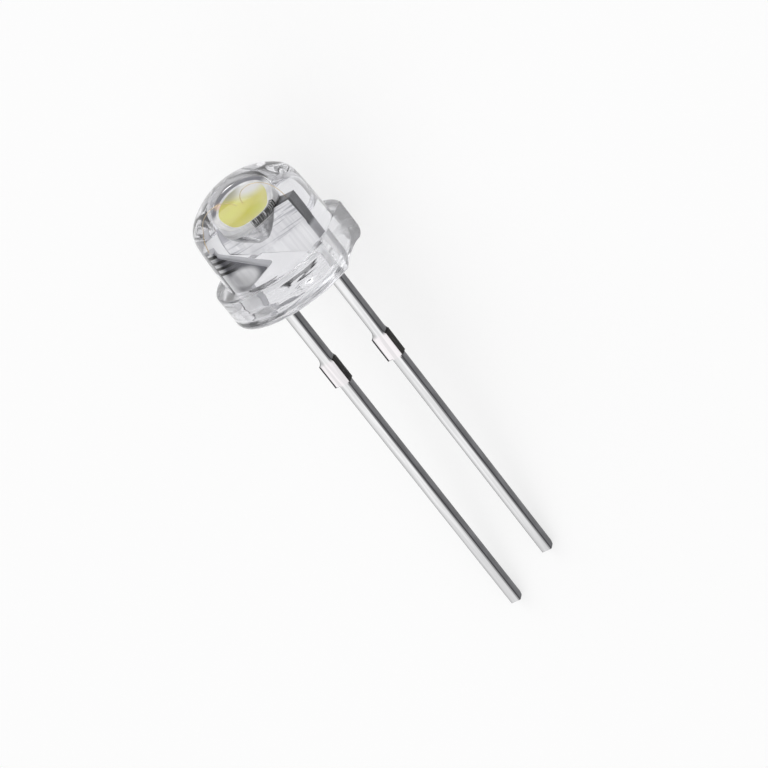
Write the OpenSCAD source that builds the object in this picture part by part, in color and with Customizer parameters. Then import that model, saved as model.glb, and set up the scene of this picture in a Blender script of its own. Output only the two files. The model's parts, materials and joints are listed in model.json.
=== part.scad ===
// Low-dome, flanged through-hole LED, lying on its flange edge and its two lead tips.
// Every piece is drawn upright first: the optical axis is z, the seat plane is z = 0,
// the anode lead is on the -x side and the cathode lead on the +x side, by the flat.
// rest_pose() then lays the whole lamp down, with the seat centre kept at the origin.

/* [Moulding] */
// Height from the seat plane to the top of the dome
overall_h = 4.9; // [4.7:0.05:5.4]
// Diameter of the flange
flange_d = 5.9; // [5.6:0.05:6.2]
// Height of the flange
flange_h = 1.5; // [1.2:0.05:1.7]
// Distance from the axis to the cathode flat
flat_x = 2.47; // [2.3:0.01:2.6]
// Radius of the rounded edge under the flange
under_edge_r = 0.24; // [0.1:0.02:0.4]
// Radius of the edge on top of the flange
top_edge_r = 0.08; // [0.04:0.01:0.2]
// Diameter of the lens where it leaves the flange
lens_d = 4.9; // [4.7:0.05:5.1]
// Draft angle of the lens side
lens_draft = 2.6; // [0.5:0.1:4]
// Radius of the low dome
dome_r = 3.2; // [2.9:0.05:3.6]
// Radius of the rounding between the dome and the lens side
dome_edge_r = 0.85; // [0.4:0.05:1.1]

/* [Leads] */
// Distance between the centres of the leads
lead_pitch = 2.54; // [2.4:0.02:2.7]
// Width of a lead
lead_w = 0.45; // [0.4:0.01:0.5]
// Thickness of the lead frame
lead_t = 0.45; // [0.4:0.01:0.5]
// Radius of the coined edges along a lead
lead_edge_r = 0.06; // [0.03:0.01:0.1]
// Length of the anode lead below the seat plane
anode_len = 16.44; // [12:0.1:28]
// Length of the cathode lead below the seat plane
cathode_len = 14.89; // [10:0.1:26]
// Radius of the edge rolled over by the cut at a lead's tip
tip_roll_r = 0.16; // [0.1:0.01:0.2]
// Distance from the seat plane to the top of the tie bar stubs
stub_drop = 3.43; // [2.5:0.05:5]
// Height of a tie bar stub
stub_h = 1.1; // [0.8:0.05:1.4]
// How far a stub stands out on the anode side of its lead
stub_anode_out = 0.2; // [0.1:0.01:0.3]
// How far a stub stands out on the cathode side of its lead
stub_cathode_out = 0.07; // [0.04:0.01:0.2]
// Radius of the fillet above a stub
stub_fillet_r = 0.4; // [0.35:0.05:0.6]

/* [Cathode anvil and reflector cup] */
// Height of the anvil's top edge above the seat plane
anvil_top = 3.18; // [3.1:0.01:3.2]
// How far the anvil reaches past the axis, towards the anode
anvil_reach = 0.97; // [0.9:0.01:1]
// Height at which the anvil's sloping edge leaves the cathode lead
anvil_heel = 0.88; // [0.8:0.02:1]
// Height at which the sloping edge meets the anvil's end
anvil_toe = 2.58; // [2.5:0.02:2.8]
// Height at which the thicker head of the anvil starts
head_start = 2.05; // [1.9:0.05:2.2]
// Thickness of the anvil's head
head_t = 0.53; // [0.51:0.01:0.6]
// Outer radius of the reflector cup's rim
rim_r = 0.95; // [0.9:0.01:1]
// Height of the outer edge of the rim above the seat plane
rim_top = 3.31; // [3.28:0.01:3.4]
// Height of the straight band round the rim
rim_band = 0.08; // [0.05:0.01:0.1]
// How far the rim slopes down from its outer edge to the mouth
rim_fall = 0.04; // [0.02:0.01:0.06]
// Radius of the cup's mouth
mouth_r = 0.755; // [0.7:0.005:0.8]
// Depth of the cup below its mouth
cup_depth = 0.49; // [0.45:0.01:0.55]
// Radius of the cup's floor
floor_r = 0.38; // [0.35:0.01:0.42]
// Radius of the lower end of the cup's outside
foot_r = 0.28; // [0.27:0.01:0.32]
// Height of the lower end of the cup's outside above the seat plane
foot_z = 2.4; // [2.3:0.02:2.5]

/* [Anode post] */
// Width of the pad on top of the post
pad_w = 0.25; // [0.22:0.01:0.28]
// Height of the upright edge beside the pad
pad_h = 0.2; // [0.1:0.02:0.3]
// Distance from the axis to the middle of the toe's round end
toe_x = 0.5; // [0.45:0.01:0.6]
// Height of the middle of the toe's round end
toe_z = 1.48; // [1.4:0.01:1.6]
// Radius of the toe's round end
toe_r = 0.09; // [0.06:0.01:0.12]
// Height at which the toe's lower edge leaves the anode lead
toe_root = 1.1; // [1:0.02:1.2]
// Number of grooves that key the post in the epoxy
groove_count = 4; // [2:1:4]
// Height of the lowest groove above the seat plane
groove_start = 1.95; // [1.85:0.01:2]
// Distance from one groove to the next
groove_pitch = 0.25; // [0.2:0.01:0.26]
// Height of a groove
groove_h = 0.1; // [0.06:0.01:0.12]
// Depth of a groove
groove_depth = 0.06; // [0.03:0.01:0.08]
// Length of a groove from the post's outer edge
groove_len = 0.24; // [0.15:0.01:0.3]

/* [Die, bond wires and fill] */
// Side of the square die
die_w = 0.35; // [0.3:0.01:0.4]
// Thickness of the die
die_t = 0.12; // [0.1:0.01:0.15]
// Thickness of the adhesive under the die
attach_t = 0.02; // [0.01:0.005:0.03]
// How far the adhesive spreads past the die
attach_spread = 0.03; // [0.02:0.005:0.05]
// Diameter of the gold bond wires
wire_d = 0.03; // [0.02:0.005:0.04]
// Distance from the axis to each bond on the die
bond_x = 0.1; // [0.08:0.01:0.12]
// Diameter of the ball at the die end of a wire
ball_d = 0.09; // [0.07:0.01:0.1]
// Height of that ball
ball_h = 0.025; // [0.02:0.005:0.03]
// Distance from the axis to the cathode wire's second bond, on the anvil
stitch_x = 1.25; // [1.2:0.01:1.3]
// Loop radius of the cathode wire
loop_r = 0.62; // [0.6:0.01:0.75]
// How far the fill stands below the cup's mouth
fill_below = 0.01; // [0.005:0.005:0.03]

/* [Hidden] */
$fn = 96;

EPOXY = [0.86, 0.88, 0.9, 0.4];
TINNED = [0.78, 0.78, 0.77];
SILVER_FILLED = [0.7, 0.7, 0.72];
SAPPHIRE = [0.55, 0.6, 0.72];
GOLD = [0.9, 0.7, 0.3];
PHOSPHOR = [0.88, 0.85, 0.3];

past = 1;             // how far a cutter runs past what it cuts
seat_turn = 4;        // how far a wire's arc runs into its bonds before it is trimmed
edge_steps = 5;

flange_r = flange_d / 2;
lens_r = lens_d / 2;
anode_x = -lead_pitch / 2;
cathode_x = lead_pitch / 2;
post_edge = anode_x - lead_w / 2;
shank_top = flange_h / 3;
mouth_z = rim_top - rim_fall;
floor_z = mouth_z - cup_depth;
die_z = floor_z + attach_t;
die_top = die_z + die_t;
post_top = die_top;   // both bonds of the anode wire lie at one level
fill_top = mouth_z - fill_below;
cup_slope = (mouth_r - floor_r) / cup_depth;

// Points along a round stretch: centre [x, z], radius, first and last angle
function arc(c, r, a0, a1, steps) =
    [for (i = [0:steps]) let (a = a0 + (a1 - a0) * i / steps) c + r * [cos(a), sin(a)]];

// The dome's edge rounding touches the drafted lens side and the dome
dome_c = overall_h - dome_r;
draft_t = tan(lens_draft);
edge_k = lens_r - dome_edge_r / cos(lens_draft) + flange_h * draft_t;
edge_b = edge_k * draft_t + dome_c;
edge_z = (edge_b + sqrt(edge_b ^ 2 - (1 + draft_t ^ 2)
         * (edge_k ^ 2 + dome_c ^ 2 - (dome_r - dome_edge_r) ^ 2))) / (1 + draft_t ^ 2);
edge_c = [edge_k - edge_z * draft_t, edge_z];
edge_end = atan2(edge_c[1] - dome_c, edge_c[0]);

// Angle, seen from c, of the point where a line from p touches a circle; side is 1 or -1
function touch_angle(p, c, r, side) =
    let (d = p - c) atan2(d[1], d[0]) + side * acos(r / norm(d));

// Rest: the flange's lower edge and both lead tips touch the surface. The roll about the
// optical axis follows from the tips' difference in length, and the tilt from their drop.
roll_k = (anode_len - cathode_len) / lead_pitch;
tip_out = cathode_x + lead_w / 2 - lead_edge_r;
tip_half = lead_t / 2 - tip_roll_r;
function tilt_sine(t) =
    ((flange_r - under_edge_r) * sqrt(1 - t ^ 2) + under_edge_r
     - tip_half * sqrt(max(0, 1 - t ^ 2 - (roll_k * t) ^ 2))
     - tip_roll_r * sqrt(1 - (roll_k * t) ^ 2))
    / (roll_k * tip_out + cathode_len - tip_roll_r + under_edge_r);
function settled(t, rounds) = rounds == 0 ? t : settled(tilt_sine(t), rounds - 1);
rest_tilt = asin(settled(0, 8));
rest_roll = asin(roll_k * tan(rest_tilt));

module rest_pose() {
    rotate([0, -rest_tilt, 0]) rotate([-90, 0, 0]) rotate([0, 90, 0]) rotate([0, 0, rest_roll])
        children();
}

// A flat outline in x and z, with its thickness centred on y = 0
module stamped(thickness) {
    rotate([90, 0, 0]) linear_extrude(thickness, center = true) children();
}

// A slice of a circle about the point c, between two angles less than 180 apart
module sector(c, r, a0, a1) {
    intersection() {
        translate(c) circle(r);
        polygon([c, c + 2 * r * [cos(a0), sin(a0)], c + 2 * r * [cos(a1), sin(a1)]]);
    }
}

// Straight stretches, with a circle behind each rounded edge and a slice of the dome on top
module moulding_outline() {
    side_touch = edge_c + dome_edge_r * [cos(lens_draft), sin(lens_draft)];
    dome_touch = [0, dome_c] + dome_r * [cos(edge_end), sin(edge_end)];
    polygon([
        [0, 0], [flange_r - under_edge_r, 0],
        [flange_r, under_edge_r], [flange_r, flange_h - top_edge_r],
        [flange_r - top_edge_r, flange_h], [lens_r, flange_h],
        side_touch, dome_touch, [0, dome_touch[1]]]);
    translate([flange_r - under_edge_r, under_edge_r]) circle(under_edge_r);
    translate([flange_r - top_edge_r, flange_h - top_edge_r]) circle(top_edge_r);
    translate(edge_c) circle(dome_edge_r);
    sector([0, dome_c], dome_r, edge_end, 90);
}

module moulding() {
    difference() {
        rotate_extrude() moulding_outline();
        translate([flat_x, -flange_d, -past]) cube([flange_d, 2 * flange_d, overall_h + 2 * past]);
    }
}

module rounded_section() {
    square([lead_w, lead_t - 2 * lead_edge_r], center = true);
    square([lead_w - 2 * lead_edge_r, lead_t], center = true);
    for (x = [-1, 1], y = [-1, 1])
        translate([x * (lead_w / 2 - lead_edge_r), y * (lead_t / 2 - lead_edge_r)])
            circle(lead_edge_r);
}

// Half of a stub's outline: the fillet above it, its sheared edge and its square lower edge
function stub_half(out, side) =
    let (turn = acos(1 - out / stub_fillet_r), rise = stub_fillet_r * sin(turn))
    [for (p = concat(
        arc([lead_w / 2 + stub_fillet_r, -stub_drop + rise], stub_fillet_r, 180, 180 + turn,
            edge_steps),
        [[lead_w / 2 + out, -stub_drop - stub_h], [0, -stub_drop - stub_h],
         [0, -stub_drop + rise]])) [side * p[0], p[1]]];

module tie_bar_stub() {
    stamped(lead_t) polygon(stub_half(stub_anode_out, -1));
    stamped(lead_t) polygon(stub_half(stub_cathode_out, 1));
}

// The edge on the back of the tip, rolled over by the cut
module tip_roll_cut(length) {
    translate([-lead_w, lead_t / 2 - tip_roll_r, -length + tip_roll_r])
        rotate([0, 90, 0]) difference() {
            cube([2 * tip_roll_r, 2 * tip_roll_r, 2 * lead_w]);
            translate([0, 0, -past]) cylinder(2 * lead_w + 2 * past, r = tip_roll_r);
        }
}

module lead(length) {
    difference() {
        union() {
            translate([0, 0, -length]) linear_extrude(length + shank_top) rounded_section();
            tie_bar_stub();
        }
        tip_roll_cut(length);
    }
}

module anvil() {
    cathode_edge = cathode_x + lead_w / 2;
    slope = (cathode_x - lead_w / 2 + anvil_reach) / (anvil_toe - anvil_heel);
    stamped(lead_t) polygon([
        [cathode_x - lead_w / 2, shank_top], [cathode_edge, shank_top],
        [cathode_edge, anvil_top], [-anvil_reach, anvil_top],
        [-anvil_reach, anvil_toe], [cathode_x - lead_w / 2, anvil_heel]]);
    stamped(head_t) polygon([
        [-anvil_reach + slope * (anvil_toe - head_start), head_start],
        [cathode_edge, head_start], [cathode_edge, anvil_top],
        [-anvil_reach, anvil_top], [-anvil_reach, anvil_toe]]);
}

module cup_outside() {
    rotate_extrude() polygon([
        [0, foot_z], [foot_r, foot_z], [rim_r, rim_top - rim_band], [rim_r, rim_top],
        [mouth_r, mouth_z], [0, mouth_z]]);
}

// The conical hollow of the cup, filled up to the given height
module cup_hollow(top) {
    reach = mouth_r + cup_slope * (top - mouth_z);
    rotate_extrude() polygon([[0, floor_z], [floor_r, floor_z], [reach, top], [0, top]]);
}

module cupped_anvil() {
    difference() {
        union() {
            anvil();
            cup_outside();
        }
        cup_hollow(mouth_z);
    }
}

module cathode_frame() {
    translate([cathode_x, 0, 0]) lead(cathode_len);
    cupped_anvil();
}

module post_outline() {
    toe = [-toe_x, toe_z];
    shoulder = [post_edge + pad_w, post_top - pad_h];
    root = [anode_x + lead_w / 2, toe_root];
    polygon(concat(
        [[post_edge, shank_top], [post_edge, post_top], [post_edge + pad_w, post_top], shoulder],
        arc(toe, toe_r, touch_angle(shoulder, toe, toe_r, -1),
            touch_angle(root, toe, toe_r, 1), edge_steps),
        [root, [anode_x + lead_w / 2, shank_top]]));
}

module key_grooves() {
    for (i = [0:groove_count - 1])
        translate([post_edge - past, -lead_t / 2 - past, groove_start + i * groove_pitch])
            cube([groove_len + past, groove_depth + past, groove_h]);
}

module anode_frame() {
    translate([anode_x, 0, 0]) lead(anode_len);
    difference() {
        stamped(lead_t) post_outline();
        key_grooves();
    }
}

module attach_pad() {
    side = die_w + 2 * attach_spread;
    translate([-side / 2, -side / 2, floor_z]) cube([side, side, attach_t]);
}

module die() {
    translate([-die_w / 2, -die_w / 2, die_z]) cube([die_w, die_w, die_t]);
}

module bond_ball(x) {
    translate([x, 0, die_top]) cylinder(ball_h, r = ball_d / 2);
}

// A round wire bent to an arc in the plane y = 0, trimmed flush with the die and the frame
module wire_arc(centre, r, a0, a1) {
    difference() {
        translate([centre[0], 0, centre[1]]) rotate([90, 0, 0]) rotate([0, 0, a0 - seat_turn])
            rotate_extrude(angle = a1 - a0 + 2 * seat_turn) translate([r, 0]) circle(wire_d / 2);
        die();
        cupped_anvil();
        stamped(lead_t) post_outline();
    }
}

module anode_loop() {
    wire_end = post_edge + pad_w / 2;
    r = (-bond_x - wire_end) / 2;
    wire_arc([wire_end + r, die_top], r, 0, 180);
    bond_ball(-bond_x);
}

module cathode_loop() {
    from = [bond_x, die_top];
    to = [stitch_x, anvil_top];
    half = (to - from) / 2;
    lift = sqrt(loop_r ^ 2 - norm(half) ^ 2) / norm(half);
    centre = from + half + lift * [-half[1], half[0]];
    start = atan2(from[1] - centre[1], from[0] - centre[0]);
    end = atan2(to[1] - centre[1], to[0] - centre[0]);
    wire_arc(centre, loop_r, end, start < end ? start + 360 : start);
    bond_ball(bond_x);
}

module epoxy_body() {
    color(EPOXY) rest_pose() difference() {
        moulding();
        cathode_frame();
        anode_frame();
        cup_hollow(fill_top);
        anode_loop();
        cathode_loop();
    }
}

module cathode_lead() {
    color(TINNED) rest_pose() cathode_frame();
}

module anode_lead() {
    color(TINNED) rest_pose() anode_frame();
}

module die_attach() {
    color(SILVER_FILLED) rest_pose() attach_pad();
}

module led_die() {
    color(SAPPHIRE) rest_pose() die();
}

module anode_wire() {
    color(GOLD) rest_pose() anode_loop();
}

module cathode_wire() {
    color(GOLD) rest_pose() cathode_loop();
}

module phosphor_fill() {
    color(PHOSPHOR) rest_pose() difference() {
        cup_hollow(fill_top);
        attach_pad();
        die();
        anode_loop();
        cathode_loop();
    }
}

epoxy_body();
cathode_lead();
anode_lead();
die_attach();
led_die();
anode_wire();
cathode_wire();
phosphor_fill();
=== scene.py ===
"""Dresses the lying through-hole lamp: clear moulding, plated frames, phosphor, gold wires."""

import json
import math
from types import SimpleNamespace

import bmesh
import bpy
from bpy.props import FloatProperty, FloatVectorProperty, IntProperty, PointerProperty
from mathutils import Matrix, Quaternion, Vector


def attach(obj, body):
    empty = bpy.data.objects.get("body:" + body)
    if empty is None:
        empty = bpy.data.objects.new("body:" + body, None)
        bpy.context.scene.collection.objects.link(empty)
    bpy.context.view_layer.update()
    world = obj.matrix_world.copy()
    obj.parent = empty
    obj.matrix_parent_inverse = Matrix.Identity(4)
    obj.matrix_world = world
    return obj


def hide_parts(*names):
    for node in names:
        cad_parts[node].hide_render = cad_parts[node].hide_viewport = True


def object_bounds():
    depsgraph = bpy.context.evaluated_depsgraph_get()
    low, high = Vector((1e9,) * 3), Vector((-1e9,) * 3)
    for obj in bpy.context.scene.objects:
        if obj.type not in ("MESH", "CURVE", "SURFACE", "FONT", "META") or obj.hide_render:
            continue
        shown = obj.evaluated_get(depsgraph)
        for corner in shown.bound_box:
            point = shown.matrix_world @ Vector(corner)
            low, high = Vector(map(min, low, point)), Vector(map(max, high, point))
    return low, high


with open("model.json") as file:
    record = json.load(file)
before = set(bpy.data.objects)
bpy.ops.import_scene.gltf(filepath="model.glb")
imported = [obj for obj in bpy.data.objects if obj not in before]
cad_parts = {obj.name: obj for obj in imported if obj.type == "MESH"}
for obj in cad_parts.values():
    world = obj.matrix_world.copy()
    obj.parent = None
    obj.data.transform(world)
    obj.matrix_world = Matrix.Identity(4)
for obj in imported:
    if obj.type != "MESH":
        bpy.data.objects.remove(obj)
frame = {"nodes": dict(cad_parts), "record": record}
CAD_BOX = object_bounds()

bl_info = {
    "name": "Through-hole lamp",
    "version": (1, 0, 0),
    "blender": (4, 5, 0),
    "location": "3D View > Sidebar > Lamp",
    "description": "Models and finishes a low-dome through-hole lamp round its packed frame",
    "category": "Object",
}

MM = 0.001


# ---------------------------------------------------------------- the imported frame's own measures

MOUNTS = {mount["name"]: mount for mount in frame["record"]["mounts"]}


def rest_turn():
    """The turn from the upright lamp to the lying one, read from its seat and its cathode flat."""
    up = -Vector(MOUNTS["board_seat"]["axis"]).normalized()
    across = Vector(MOUNTS["cathode_flat"]["axis"]).normalized()
    return Matrix((across, up.cross(across), up)).transposed()


REST = rest_turn()


def upright(point):
    """A point of the row frame, in metres, on the upright lamp's own axes, in millimetres."""
    return REST.transposed() @ Vector(point) / MM


def span(node):
    """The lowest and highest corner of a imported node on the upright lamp's own axes."""
    points = [upright(v.co) for v in frame["nodes"][node].data.vertices]
    return (Vector([min(p[i] for p in points) for i in range(3)]),
            Vector([max(p[i] for p in points) for i in range(3)]))


def measures():
    """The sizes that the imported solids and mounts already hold, in millimetres."""
    rim = MOUNTS["flange_rim"]
    rim_middle = upright(rim["pos_m"]).z
    rim_half = rim["dims"]["length_mm"] / 2
    body = span("epoxy_body")[1]
    cathode = span("cathode_lead")
    anode = span("anode_lead")
    fill = span("phosphor_fill")
    die = span("led_die")
    return SimpleNamespace(
        flange_r=rim["dims"]["r_mm"],
        under_edge_r=rim_middle - rim_half,
        rim_end=rim_middle + rim_half,
        flat_x=body.x,
        overall_h=body.z,
        anode_x=upright(MOUNTS["anode_pin"]["pos_m"]).x,
        cathode_x=upright(MOUNTS["cathode_pin"]["pos_m"]).x,
        lead_t=anode[1].y - anode[0].y,
        anode_tip=anode[0].z,
        cathode_tip=cathode[0].z,
        post_top=anode[1].z,
        rim_r=cathode[1].y,
        rim_top=cathode[1].z,
        floor_z=fill[0].z,
        fill_top=fill[1].z,
        fill_r=fill[1].x,
        die_top=die[1].z,
    )


M = measures()


def srgb(code):
    """A hex colour as it is seen, turned to the linear values that shaders take."""
    parts = [int(code[i:i + 2], 16) / 255 for i in (1, 3, 5)]
    return [p / 12.92 if p <= 0.04045 else ((p + 0.055) / 1.055) ** 2.4 for p in parts] + [1.0]


# ---------------------------------------------------------------- settings

def length(name, description, mm):
    """A length that a user can set, with its default in millimetres."""
    return FloatProperty(name=name, description=description, default=mm * MM, min=0.0,
                         precision=5, subtype="DISTANCE", unit="LENGTH")


def angle(name, description, degrees):
    """An angle that a user can set."""
    return FloatProperty(name=name, description=description, default=math.radians(degrees),
                         subtype="ANGLE", unit="ROTATION")


def paint(name, description, code):
    """A colour that a user can set, with its default as hex."""
    return FloatVectorProperty(name=name, description=description, default=srgb(code), size=4,
                               min=0.0, max=1.0, subtype="COLOR")


class MouldingSizes(bpy.types.PropertyGroup):
    """Sizes of the clear epoxy moulding."""
    top_edge_r: length("Flange top edge", "Radius of the edge on top of the flange", mm=0.08)
    lens_r: length("Lens radius", "Radius of the lens where it leaves the flange", mm=2.45)
    dome_r: length("Dome radius", "Radius of the low dome", mm=3.2)
    dome_edge_r: length(
        "Dome edge", "Radius of the rounding between the dome and the lens side", mm=0.85)
    draft: angle("Draft", "Draft angle of the lens side", degrees=2.6)
    dish: length("Dish", "How far the underside sinks inside its rim as the epoxy sets", mm=0.22)
    ripple: length("Ripple", "Height of the ripples that set into the underside", mm=0.05)
    climb: angle("Climb", "Slope at which the epoxy climbs back down to the rim", degrees=32)
    parting: length("Parting step", "Step round the flange where the mould's wall ends", mm=0.02)
    polish: IntProperty(
        name="Polish", description="How often the run of the lens is smoothed",
        default=100, min=0, max=400)
    facets: IntProperty(
        name="Facets", description="Number of facets round the moulding",
        default=180, min=48, max=360)


class LeadSizes(bpy.types.PropertyGroup):
    """Sizes of the two leads, which are stamped from one strip."""
    width: length("Lead width", "Width of a lead", mm=0.45)
    edge_r: length("Lead edge", "Radius of the coined edges along a lead", mm=0.05)
    tip_roll_r: length("Tip roll", "Radius of the edge rolled over by the cut at a tip", mm=0.16)
    stub_drop: length(
        "Stub drop", "Distance from the seat to the top of the tie bar stubs", mm=3.43)
    stub_h: length("Stub height", "Height of a tie bar stub", mm=1.1)
    stub_anode_out: length(
        "Stub, anode side", "How far a stub stands out on the anode side", mm=0.2)
    stub_cathode_out: length(
        "Stub, cathode side", "How far a stub stands out on the cathode side", mm=0.07)
    stub_fillet_r: length("Stub fillet", "Radius of the fillet above a stub", mm=0.4)


class AnvilSizes(bpy.types.PropertyGroup):
    """Sizes of the cathode anvil and the reflector cup pressed into it."""
    top: length("Anvil top", "Height of the anvil's top edge", mm=3.18)
    reach: length("Anvil reach", "How far the anvil reaches past the axis", mm=0.97)
    heel: length("Anvil heel", "Height at which the sloping edge leaves the lead", mm=0.88)
    toe: length("Anvil toe", "Height at which the sloping edge meets the anvil's end", mm=2.58)
    head_start: length("Head start", "Height at which the thicker head starts", mm=2.05)
    head_t: length("Head thickness", "Thickness of the anvil's head", mm=0.53)
    rim_band: length("Rim band", "Height of the straight band round the cup's rim", mm=0.08)
    rim_fall: length("Rim fall", "How far the rim slopes down to the mouth", mm=0.04)
    mouth_r: length("Mouth", "Radius of the cup's mouth", mm=0.755)
    floor_r: length("Cup floor", "Radius of the cup's floor", mm=0.38)
    foot_r: length("Cup foot", "Radius of the lower end of the cup's outside", mm=0.28)
    foot_z: length("Foot height", "Height of the lower end of the cup's outside", mm=2.4)


class PostSizes(bpy.types.PropertyGroup):
    """Sizes of the anode post inside the moulding."""
    pad_w: length("Pad", "Width of the pad on top of the post", mm=0.25)
    pad_h: length("Pad edge", "Height of the upright edge beside the pad", mm=0.2)
    toe_x: length("Toe place", "Distance from the axis to the middle of the toe's end", mm=0.5)
    toe_z: length("Toe height", "Height of the middle of the toe's end", mm=1.48)
    toe_r: length("Toe end", "Radius of the toe's round end", mm=0.09)
    toe_root: length("Toe root", "Height at which the toe's lower edge leaves the lead", mm=1.1)
    grooves: IntProperty(
        name="Grooves", description="Number of grooves that key the post in the epoxy",
        default=4, min=0, max=4)
    groove_start: length("First groove", "Height of the lowest groove", mm=1.95)
    groove_pitch: length("Groove pitch", "Distance from one groove to the next", mm=0.25)
    groove_h: length("Groove height", "Height of a groove", mm=0.1)
    groove_depth: length("Groove depth", "Depth of a groove", mm=0.06)
    groove_len: length("Groove length", "Length of a groove from the post's outer edge", mm=0.24)


class WireSizes(bpy.types.PropertyGroup):
    """Sizes of the two bond wires and the fill."""
    wire_d: length("Wire", "Diameter of the gold bond wires", mm=0.02)
    bond_x: length("Bond place", "Distance from the axis to each bond on the die", mm=0.1)
    stitch_x: length("Stitch place", "Distance from the axis to the bond on the anvil", mm=1.25)
    loop_r: length("Loop", "Radius of the cathode wire's loop", mm=0.62)
    sag: length("Fill sag", "How far the middle of the fill lies below its edge", mm=0.03)


class Finishes(bpy.types.PropertyGroup):
    """Colours of the finishes."""
    plating: paint("Plating", "Tin and silver plating on the rolled faces", "#efefef")
    sheared: paint("Stamped side", "Sides of the strip, drawn dull by the stamping", "#69696b")
    cut: paint("Cut", "Bare steel where the tie bars were cut after plating", "#2a2929")
    phosphor: paint("Phosphor", "Phosphor in clear silicone", "#e6de36")
    phosphor_pale: paint("Pale phosphor", "Phosphor where less of it has settled", "#efe98c")
    gold: paint("Gold", "Bond wires", "#f4e0ba")
    reflector: paint("Reflector", "Matt silver plating of the cup", "#fafaf8")
    epoxy: paint("Epoxy", "Clear epoxy with a faint grey body", "#eeeef1")


class StageSettings(bpy.types.PropertyGroup):
    """The camera's place and the light."""
    azimuth: angle("Azimuth", "Turn of the camera round the lamp, from the -Y side", degrees=23.14)
    elevation: angle("Elevation", "Height of the camera above the horizon", degrees=54.71)
    roll: angle("Roll", "Turn of the camera about its line of sight", degrees=-141.63)
    distance: length("Distance", "Distance from the camera to what it looks at", mm=95.33)
    aim: FloatVectorProperty(
        name="Aim", description="What the camera looks at, on the upright lamp's axes",
        default=(-0.054 * MM, 0.102 * MM, -5.403 * MM), subtype="TRANSLATION", unit="LENGTH")
    lens: FloatProperty(
        name="Lens", description="Focal length in millimetres on a 36 mm frame",
        default=115.9, min=1.0)


def in_mm(group):
    """The lengths of a group of settings in millimetres, and its other values as they are."""
    found = {}
    for name, made in group.__annotations__.items():
        value = getattr(group, name)
        is_length = made.keywords.get("subtype") == "DISTANCE"
        found[name] = value / MM if is_length else value
    return SimpleNamespace(**found)


# ---------------------------------------------------------------- modelling

MERGE = 1e-5  # points nearer than this, in millimetres, become one


class Pen:
    """Draws an outline in the upright lamp's x-z plane, edge by edge, in millimetres."""

    def __init__(self, x, z):
        self.bm = bmesh.new()
        self.start = self.bm.verts.new((x, 0, z))
        self.tip = self.start

    def line(self, *points):
        for x, z in points:
            corner = self.bm.verts.new((x, 0, z))
            self.bm.edges.new((self.tip, corner))
            self.tip = corner

    def arc(self, x, z, angle, steps):
        """Turns the tip about a centre by an angle, from x towards z where it is positive."""
        made = bmesh.ops.spin(self.bm, geom=[self.tip], cent=(x, 0, z), axis=(0, -1, 0),
                              angle=angle, steps=steps, use_duplicate=False)
        self.tip = next(g for g in made["geom_last"] if isinstance(g, bmesh.types.BMVert))

    def spun(self, steps):
        """The outline turned full circle about the optical axis, as a closed shell."""
        geom = self.bm.verts[:] + self.bm.edges[:]
        bmesh.ops.spin(self.bm, geom=geom, cent=(0, 0, 0), axis=(0, 0, 1), angle=math.tau,
                       steps=steps, use_merge=True, use_duplicate=False)
        bmesh.ops.remove_doubles(self.bm, verts=self.bm.verts, dist=MERGE)
        bmesh.ops.recalc_face_normals(self.bm, faces=self.bm.faces)
        return self.bm

    def stamped(self, thickness):
        """The closed outline as a plate, with its thickness centred on y = 0."""
        self.bm.edges.new((self.tip, self.start))
        face = bmesh.ops.contextual_create(self.bm, geom=self.bm.edges[:])["faces"][0]
        bmesh.ops.translate(self.bm, verts=self.bm.verts, vec=(0, -thickness / 2, 0))
        made = bmesh.ops.extrude_face_region(self.bm, geom=[face])
        moved = [g for g in made["geom"] if isinstance(g, bmesh.types.BMVert)]
        bmesh.ops.translate(self.bm, verts=moved, vec=(0, thickness, 0))
        bmesh.ops.recalc_face_normals(self.bm, faces=self.bm.faces)
        return self.bm


def as_object(bm, name, materials=()):
    """An object in millimetres that holds the mesh, for the booleans that follow."""
    mesh = bpy.data.meshes.new(name)
    bm.to_mesh(mesh)
    bm.free()
    for material in materials:
        mesh.materials.append(material)
    made = bpy.data.objects.new(name, mesh)
    bpy.context.scene.collection.objects.link(made)
    return made


def combine(piece, tool, operation):
    """Joins another closed mesh to a piece or cuts the piece with it; the other mesh is used up."""
    boolean = piece.modifiers.new("combine", "BOOLEAN")
    boolean.operation = operation
    boolean.object = tool
    boolean.solver = "EXACT"
    boolean.material_mode = "TRANSFER"
    depsgraph = bpy.context.evaluated_depsgraph_get()
    mesh = bpy.data.meshes.new_from_object(piece.evaluated_get(depsgraph))
    piece.modifiers.clear()
    piece.data = mesh
    bpy.data.objects.remove(tool)


def lay_down(piece, slot, *nodes, crease=math.radians(30)):
    """Turns a finished piece from the upright lamp's axes to the lying lamp's, in metres.

    Each point keeps its upright place in millimetres, which the materials' patterns follow.
    """
    places = [value for vert in piece.data.vertices for value in vert.co]
    kept = piece.data.attributes.new("upright", "FLOAT_VECTOR", "POINT")
    kept.data.foreach_set("vector", places)
    piece.data.transform(REST.to_4x4() @ Matrix.Scale(MM, 4))
    piece.data.shade_smooth()
    piece.data.set_sharp_from_angle(angle=crease)
    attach(piece, "root")
    if nodes:
        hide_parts(*nodes)


# ---------------------------------------------------------------- materials

def add(tree, kind, inputs=(), **settings):
    """Adds a node with its settings; each input gets a value, or a link where it is a socket."""
    node = tree.nodes.new(kind)
    for name, value in settings.items():
        setattr(node, name, value)
    for name, value in dict(inputs).items():
        if isinstance(value, bpy.types.NodeSocket):
            tree.links.new(value, node.inputs[name])
        else:
            node.inputs[name].default_value = value
    return node


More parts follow.
